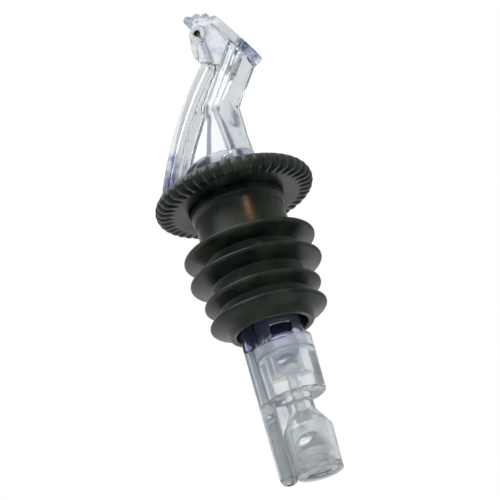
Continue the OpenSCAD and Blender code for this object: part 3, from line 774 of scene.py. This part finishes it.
# %% World and its directions
WORLD_LIGHT = 0.5
world = bpy.data.worlds.new("studio")
bpy.context.scene.world = world
world.use_nodes = True
tree = world.node_tree
background = tree.nodes["Background"]
light_path = add_node(tree, "ShaderNodeLightPath", {}).outputs
direction = add_node(tree, "ShaderNodeTexCoord", {}).outputs["Generated"]
axes = add_node(tree, "ShaderNodeSeparateXYZ", {"Vector": direction}).outputs
WINDOW_SIDE = 0.74 * up - 0.66 * right
BACKDROP_SIDE = level.cross((0, 0, -1))


def towards(side):
    """How far a ray points to one side: 1 straight to it, -1 straight away."""
    return calculate_vector(tree, "DOT_PRODUCT", "Value", direction, (*side,))


sideways = towards(level)
backdrop = towards(BACKDROP_SIDE)
print("world", world.name, "started")

# %% Dark cards for straight rays
DARK_CARDS = 4
CARD_TURN = math.radians(-150)
CARD_EDGES = (0.55, 0.9)
CARD_LIGHT = 0.4
# The darkest card stands on the left
CARD_SHADE = 0.08
LEFT_CARD = (-0.85, -0.4)
round_angle = calculate(tree, "ARCTAN2", axes["Y"], axes["X"])
wave = calculate(tree, "SINE", calculate(tree, "MULTIPLY_ADD", round_angle, DARK_CARDS, CARD_TURN))
cards = calculate(tree, "MULTIPLY", step(tree, wave, CARD_EDGES, 1.0, CARD_LIGHT),
                  step(tree, sideways, LEFT_CARD, CARD_SHADE, 1.0))
print("world with", DARK_CARDS, "dark cards")

# %% Room and window for mirrored rays
ROOM_SHADE = 0.4
ROOM_FRONT = (-0.7, 0.3)
ROOM_GROUND = (-0.8, -0.45)
CORNER_SIDE = (-0.75, -0.4)
CORNER_HEIGHT = (0.0, 0.3)
CORNER_LIGHT = 0.4
RIGHT_WALL = (0.1, 0.6)
RIGHT_LIGHT = 0.5
WINDOW_LIGHT = 3.0
WINDOW_EDGES = (0.8, 0.93)
INNER_FRONT = (-0.6, 0.2)
INNER_GROUND = (-0.7, -0.3)

window = step(tree, towards(WINDOW_SIDE), WINDOW_EDGES, 0.0, WINDOW_LIGHT)
room = calculate(tree, "MULTIPLY", step(tree, backdrop, ROOM_FRONT, ROOM_SHADE, 1.0),
                 step(tree, axes["Z"], ROOM_GROUND, ROOM_SHADE, 1.0))
upper_left = calculate(tree, "MULTIPLY", step(tree, sideways, CORNER_SIDE, 1.0, 0.0),
                       step(tree, axes["Z"], CORNER_HEIGHT, 0.0, 1.0))
room = calculate(tree, "MULTIPLY", room, mix_value(tree, upper_left, 1.0, CORNER_LIGHT))
room = calculate(tree, "MULTIPLY", room, step(tree, sideways, RIGHT_WALL, 1.0, RIGHT_LIGHT))
room = calculate(tree, "ADD", room, window)
inner = calculate(tree, "MULTIPLY", step(tree, backdrop, INNER_FRONT, CARD_SHADE, 1.0),
                  step(tree, axes["Z"], INNER_GROUND, ROOM_SHADE, 1.0))
inner = calculate(tree, "ADD", inner, window)
print("room with a window of strength", WINDOW_LIGHT)

# %% Put the world together
CARD_TINT = (0.5, 0.6, 1.0)
ROOM_TINT = (0.88, 1.0, 0.9)
WHITE = (1, 1, 1, 1)
through = light_path["Is Transmission Ray"]
bounced = calculate(tree, "MINIMUM", light_path["Glossy Depth"], 1.0)
seen = mix_value(tree, through, room, mix_value(tree, bounced, cards, inner))
seen = mix_value(tree, light_path["Is Camera Ray"], seen, 1.0)
mirrored = calculate(tree, "MAXIMUM", light_path["Is Glossy Ray"], through)
plain = calculate(tree, "MAXIMUM", mirrored, light_path["Is Camera Ray"])
strength = calculate(tree, "MULTIPLY", seen, mix_value(tree, plain, WORLD_LIGHT, 1.0))
shade_tint = mix_colour(tree, through, (*ROOM_TINT, 1), (*CARD_TINT, 1))
tree.links.new(strength, background.inputs["Strength"])
tree.links.new(mix_colour(tree, seen, shade_tint, WHITE), background.inputs["Color"])
print("world lights dull surfaces at", WORLD_LIGHT)

# %% [markdown]
# ## Lamps
# One soft lamp from the front gives the floor its shadow. It is hidden from mirrored rays, because a
# lamp's own square would show in every flat face. A narrow warm spot gives the cork's neck the brown
# glint of a lamp in the room. An area lamp would do that too, but it would also colour the plastic.

# %% Soft lamp and warm glint
def hang_lamp(lamp_data, target, side, distance):
    """Hangs a lamp at a distance to one side of a target, and faces it to the target."""
    lamp = bpy.data.objects.new(lamp_data.name, lamp_data)
    bpy.context.scene.collection.objects.link(lamp)
    away = Vector(side).normalized()
    facing = away.to_track_quat("Z", "Y").to_matrix().to_4x4()
    lamp.matrix_world = Matrix.Translation(Vector(target) + away * distance) @ facing
    return lamp


key_data = bpy.data.lights.new("key", "AREA")
key_data.size = 0.35
key_data.energy = 3.0
key = hang_lamp(key_data, (0, 0, 0), side=(0.45, -0.6, 0.66), distance=0.7)
key.visible_glossy = False
key.visible_transmission = False

GLINT_AT = Vector((2.5, -8.0, -5.0)) * MM
glint_data = bpy.data.lights.new("warm_glint", "SPOT")
glint_data.energy = 2.2
glint_data.color = (1.0, 0.55, 0.3)
glint_data.spot_size = math.radians(1.5)
glint_data.spot_blend = 0.6
glint_data.shadow_soft_size = 0.004
glint = hang_lamp(glint_data, GLINT_AT, side=(0.594, -0.693, 0.408), distance=0.6)
glint.visible_diffuse = False
glint.visible_transmission = False
print("lamps:", key.name, glint.name)

# %% [markdown]
# ## Floor
# The floor is a pale sheet just under the lowest point, so that views from above get a shadow. The
# camera of the photograph looks from below it, so the sheet's lower side lets everything through. It
# also lets mirrored rays through, which then meet the room.

# %% Paper floor
FLOOR_Z = -54.4
FLOOR_HALF = 1200
bm = bmesh.new()
bmesh.ops.create_grid(bm, x_segments=2, y_segments=2, size=FLOOR_HALF * MM)
bmesh.ops.translate(bm, vec=(0, 0, FLOOR_Z * MM), verts=bm.verts)
mesh = bpy.data.meshes.new("floor")
bm.to_mesh(mesh)
bm.free()
floor = bpy.data.objects.new("floor", mesh)
bpy.context.scene.collection.objects.link(floor)

paper = bpy.data.materials.new("white_paper")
paper.use_nodes = True
tree = paper.node_tree
shader = tree.nodes["Principled BSDF"]
shader.inputs["Base Color"].default_value = (0.92, 0.92, 0.92, 1)
shader.inputs["Roughness"].default_value = 0.9
clear_side = add_node(tree, "ShaderNodeBsdfTransparent", {})
backfacing = add_node(tree, "ShaderNodeNewGeometry", {}).outputs["Backfacing"]
light_path = add_node(tree, "ShaderNodeLightPath", {}).outputs
reflected = calculate(tree, "SUBTRACT", light_path["Is Glossy Ray"], light_path["Is Transmission Ray"])
unseen = calculate(tree, "MAXIMUM", backfacing, reflected)
sides = add_node(tree, "ShaderNodeMixShader",
                 {0: unseen, 1: shader.outputs["BSDF"], 2: clear_side.outputs["BSDF"]})
tree.links.new(sides.outputs["Shader"], tree.nodes["Material Output"].inputs["Surface"])
mesh.materials.append(paper)
print("floor at", FLOOR_Z, "mm")

# %% Finish
bpy.context.view_layer.update()
